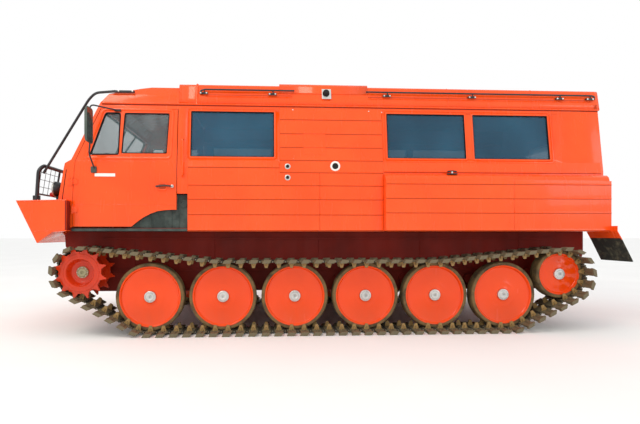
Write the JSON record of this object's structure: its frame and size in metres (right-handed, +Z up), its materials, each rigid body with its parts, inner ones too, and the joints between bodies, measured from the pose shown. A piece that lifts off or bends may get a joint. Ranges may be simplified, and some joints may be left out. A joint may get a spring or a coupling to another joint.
{
  "type": "tracked all-terrain passenger carrier",
  "caption": "Tracked all-terrain personnel carrier with a truck-style cab, a long windowed passenger body, large rubber-tyred road wheels and steel link tracks.",
  "frame": {"origin": "centre of the whole object's footprint, on the ground under the tracks", "axes": "+X towards the rear, -X the driving direction, +Y the vehicle's right side, +Z up"},
  "size_m": [6.622, 3, 2.783],
  "materials": {
    "orange_paint": "gloss enamel",
    "hull_paint": "satin enamel",
    "wheel_paint": "gloss enamel",
    "black_tube": "satin black enamel",
    "mirror_housing": "grained",
    "glass": "tinted float",
    "track_steel": "cast, dusty",
    "flap_rubber": "matt",
    "cab_plastic": "grained",
    "seat_cover": "woven",
    "zinc": "zinc plated"
  },
  "bodies": {
    "chassis": {"hull_tub": "hull_paint", "body_floor": "hull_paint", "front_bumper": "orange_paint", "brush_guard": "black_tube", "side_fittings": "zinc", "headlamps": "black_tube", "deflector_stays": "black_tube", "cab_shell": "orange_paint", "windscreen": "glass", "sill_liner_left": "flap_rubber", "sill_liner_right": "flap_rubber", "body_side_left": "orange_paint", "body_side_right": "orange_paint", "side_box_left": "orange_paint", "side_box_right": "orange_paint", "body_roof": "orange_paint", "side_windows": "glass", "roof_rails": "black_tube", "rear_wall": "orange_paint", "mudflaps": "flap_rubber", "grab_bars": "orange_paint", "dashboard": "cab_plastic", "cab_seats": "seat_cover", "passenger_benches": "seat_cover", "tow_clevis": "hull_paint", "track_left": "track_steel", "track_right": "track_steel", "swing_arms_left": "hull_paint", "swing_arms_right": "hull_paint"},
    "sprocket_left_body": {"sprocket_left": "wheel_paint"},
    "wheel_left_1_body": {"wheel_left_1": "wheel_paint"},
    "wheel_left_2_body": {"wheel_left_2": "wheel_paint"},
    "wheel_left_3_body": {"wheel_left_3": "wheel_paint"},
    "wheel_left_4_body": {"wheel_left_4": "wheel_paint"},
    "wheel_left_5_body": {"wheel_left_5": "wheel_paint"},
    "wheel_left_6_body": {"wheel_left_6": "wheel_paint"},
    "idler_left_body": {"idler_left": "wheel_paint"},
    "cab_door_left_body": {"cab_door_left": "orange_paint", "door_glass_left": "glass", "mirror_arm_left": "black_tube"},
    "door_handle_left_body": {"door_handle_left": "black_tube"},
    "mirror_left_body": {"mirror_left": "mirror_housing"},
    "sprocket_right_body": {"sprocket_right": "wheel_paint"},
    "wheel_right_1_body": {"wheel_right_1": "wheel_paint"},
    "wheel_right_2_body": {"wheel_right_2": "wheel_paint"},
    "wheel_right_3_body": {"wheel_right_3": "wheel_paint"},
    "wheel_right_4_body": {"wheel_right_4": "wheel_paint"},
    "wheel_right_5_body": {"wheel_right_5": "wheel_paint"},
    "wheel_right_6_body": {"wheel_right_6": "wheel_paint"},
    "idler_right_body": {"idler_right": "wheel_paint"},
    "cab_door_right_body": {"cab_door_right": "orange_paint", "door_glass_right": "glass", "mirror_arm_right": "black_tube"},
    "door_handle_right_body": {"door_handle_right": "black_tube"},
    "mirror_right_body": {"mirror_right": "mirror_housing"},
    "rear_door_body": {"rear_door": "orange_paint", "rear_door_glass": "glass"},
    "rear_door_handle_body": {"rear_door_handle": "black_tube"},
    "roof_hatch_body": {"roof_hatch": "orange_paint"},
    "steering_body": {"steering_wheel": "cab_plastic"}
  },
  "joints": [
    {"name": "sprocket_left_spin", "type": "hinge", "parent": "chassis", "child": "sprocket_left_body", "pos_m": [-2.65, -1.23, 0.665], "axis": [0, 1, 0], "continuous": true, "deforming": ["track_left"]},
    {"name": "wheel_left_1_spin", "type": "hinge", "parent": "chassis", "child": "wheel_left_1_body", "pos_m": [-1.95, -1.23, 0.3975], "axis": [0, 1, 0], "continuous": true},
    {"name": "wheel_left_2_spin", "type": "hinge", "parent": "chassis", "child": "wheel_left_2_body", "pos_m": [-1.175, -1.23, 0.3975], "axis": [0, 1, 0], "continuous": true},
    {"name": "wheel_left_3_spin", "type": "hinge", "parent": "chassis", "child": "wheel_left_3_body", "pos_m": [-0.4, -1.23, 0.3975], "axis": [0, 1, 0], "continuous": true},
    {"name": "wheel_left_4_spin", "type": "hinge", "parent": "chassis", "child": "wheel_left_4_body", "pos_m": [0.375, -1.23, 0.3975], "axis": [0, 1, 0], "continuous": true},
    {"name": "wheel_left_5_spin", "type": "hinge", "parent": "chassis", "child": "wheel_left_5_body", "pos_m": [1.15, -1.23, 0.3975], "axis": [0, 1, 0], "continuous": true},
    {"name": "wheel_left_6_spin", "type": "hinge", "parent": "chassis", "child": "wheel_left_6_body", "pos_m": [1.925, -1.23, 0.3975], "axis": [0, 1, 0], "continuous": true},
    {"name": "idler_left_spin", "type": "hinge", "parent": "chassis", "child": "idler_left_body", "pos_m": [2.572, -1.23, 0.622], "axis": [0, 1, 0], "continuous": true},
    {"name": "cab_door_left_hinge", "type": "hinge", "parent": "chassis", "child": "cab_door_left_body", "pos_m": [-2.78, -1.262, 1.45], "axis": [0, 0, -1], "range_deg": [0, 68]},
    {"name": "door_handle_left_pull", "type": "hinge", "parent": "cab_door_left_body", "child": "door_handle_left_body", "pos_m": [-1.722, -1.25, 1.586], "axis": [0, 1, 0], "range_deg": [0, 35], "stiffness_Nm_per_rad": 2, "springref_deg": -20.05},
    {"name": "mirror_left_turn", "type": "hinge", "parent": "cab_door_left_body", "child": "mirror_left_body", "pos_m": [-2.562, -1.35, 2.205], "axis": [0, 0, -1], "range_deg": [-30, 60]},
    {"name": "sprocket_right_spin", "type": "hinge", "parent": "chassis", "child": "sprocket_right_body", "pos_m": [-2.65, 1.23, 0.665], "axis": [0, 1, 0], "continuous": true, "deforming": ["track_right"]},
    {"name": "wheel_right_1_spin", "type": "hinge", "parent": "chassis", "child": "wheel_right_1_body", "pos_m": [-1.95, 1.23, 0.3975], "axis": [0, 1, 0], "continuous": true},
    {"name": "wheel_right_2_spin", "type": "hinge", "parent": "chassis", "child": "wheel_right_2_body", "pos_m": [-1.175, 1.23, 0.3975], "axis": [0, 1, 0], "continuous": true},
    {"name": "wheel_right_3_spin", "type": "hinge", "parent": "chassis", "child": "wheel_right_3_body", "pos_m": [-0.4, 1.23, 0.3975], "axis": [0, 1, 0], "continuous": true},
    {"name": "wheel_right_4_spin", "type": "hinge", "parent": "chassis", "child": "wheel_right_4_body", "pos_m": [0.375, 1.23, 0.3975], "axis": [0, 1, 0], "continuous": true},
    {"name": "wheel_right_5_spin", "type": "hinge", "parent": "chassis", "child": "wheel_right_5_body", "pos_m": [1.15, 1.23, 0.3975], "axis": [0, 1, 0], "continuous": true},
    {"name": "wheel_right_6_spin", "type": "hinge", "parent": "chassis", "child": "wheel_right_6_body", "pos_m": [1.925, 1.23, 0.3975], "axis": [0, 1, 0], "continuous": true},
    {"name": "idler_right_spin", "type": "hinge", "parent": "chassis", "child": "idler_right_body", "pos_m": [2.572, 1.23, 0.622], "axis": [0, 1, 0], "continuous": true},
    {"name": "cab_door_right_hinge", "type": "hinge", "parent": "chassis", "child": "cab_door_right_body", "pos_m": [-2.78, 1.262, 1.45], "axis": [0, 0, 1], "range_deg": [0, 68]},
    {"name": "door_handle_right_pull", "type": "hinge", "parent": "cab_door_right_body", "child": "door_handle_right_body", "pos_m": [-1.722, 1.25, 1.586], "axis": [0, 1, 0], "range_deg": [0, 35], "stiffness_Nm_per_rad": 2, "springref_deg": -20.05},
    {"name": "mirror_right_turn", "type": "hinge", "parent": "cab_door_right_body", "child": "mirror_right_body", "pos_m": [-2.562, 1.35, 2.205], "axis": [0, 0, 1], "range_deg": [-30, 60]},
    {"name": "rear_door_hinge", "type": "hinge", "parent": "chassis", "child": "rear_door_body", "pos_m": [3.134, 0.428, 1.76], "axis": [0, 0, 1], "range_deg": [0, 110]},
    {"name": "rear_door_handle_turn", "type": "hinge", "parent": "rear_door_body", "child": "rear_door_handle_body", "pos_m": [3.12, -0.35, 1.7], "axis": [-1, 0, 0], "range_deg": [0, 60], "stiffness_Nm_per_rad": 2, "springref_deg": -28.65},
    {"name": "roof_hatch_hinge", "type": "hinge", "parent": "chassis", "child": "roof_hatch_body", "pos_m": [-0.57, 0, 2.77], "axis": [0, -1, 0], "range_deg": [0, 75]},
    {"name": "steering_turn", "type": "hinge", "parent": "chassis", "child": "steering_body", "pos_m": [-2.3908, -0.64, 1.8092], "axis": [0.7071, 0, 0.7071], "range_deg": [-540, 540]}
  ],
  "couplings": [
    {"joint": "wheel_left_1_spin", "follows": "sprocket_left_spin", "ratio": 0.70722},
    {"joint": "wheel_left_2_spin", "follows": "sprocket_left_spin", "ratio": 0.70722},
    {"joint": "wheel_left_3_spin", "follows": "sprocket_left_spin", "ratio": 0.70722},
    {"joint": "wheel_left_4_spin", "follows": "sprocket_left_spin", "ratio": 0.70722},
    {"joint": "wheel_left_5_spin", "follows": "sprocket_left_spin", "ratio": 0.70722},
    {"joint": "wheel_left_6_spin", "follows": "sprocket_left_spin", "ratio": 0.70722},
    {"joint": "idler_left_spin", "follows": "sprocket_left_spin", "ratio": 0.94678},
    {"joint": "wheel_right_1_spin", "follows": "sprocket_right_spin", "ratio": 0.70722},
    {"joint": "wheel_right_2_spin", "follows": "sprocket_right_spin", "ratio": 0.70722},
    {"joint": "wheel_right_3_spin", "follows": "sprocket_right_spin", "ratio": 0.70722},
    {"joint": "wheel_right_4_spin", "follows": "sprocket_right_spin", "ratio": 0.70722},
    {"joint": "wheel_right_5_spin", "follows": "sprocket_right_spin", "ratio": 0.70722},
    {"joint": "wheel_right_6_spin", "follows": "sprocket_right_spin", "ratio": 0.70722},
    {"joint": "idler_right_spin", "follows": "sprocket_right_spin", "ratio": 0.94678}
  ]
}
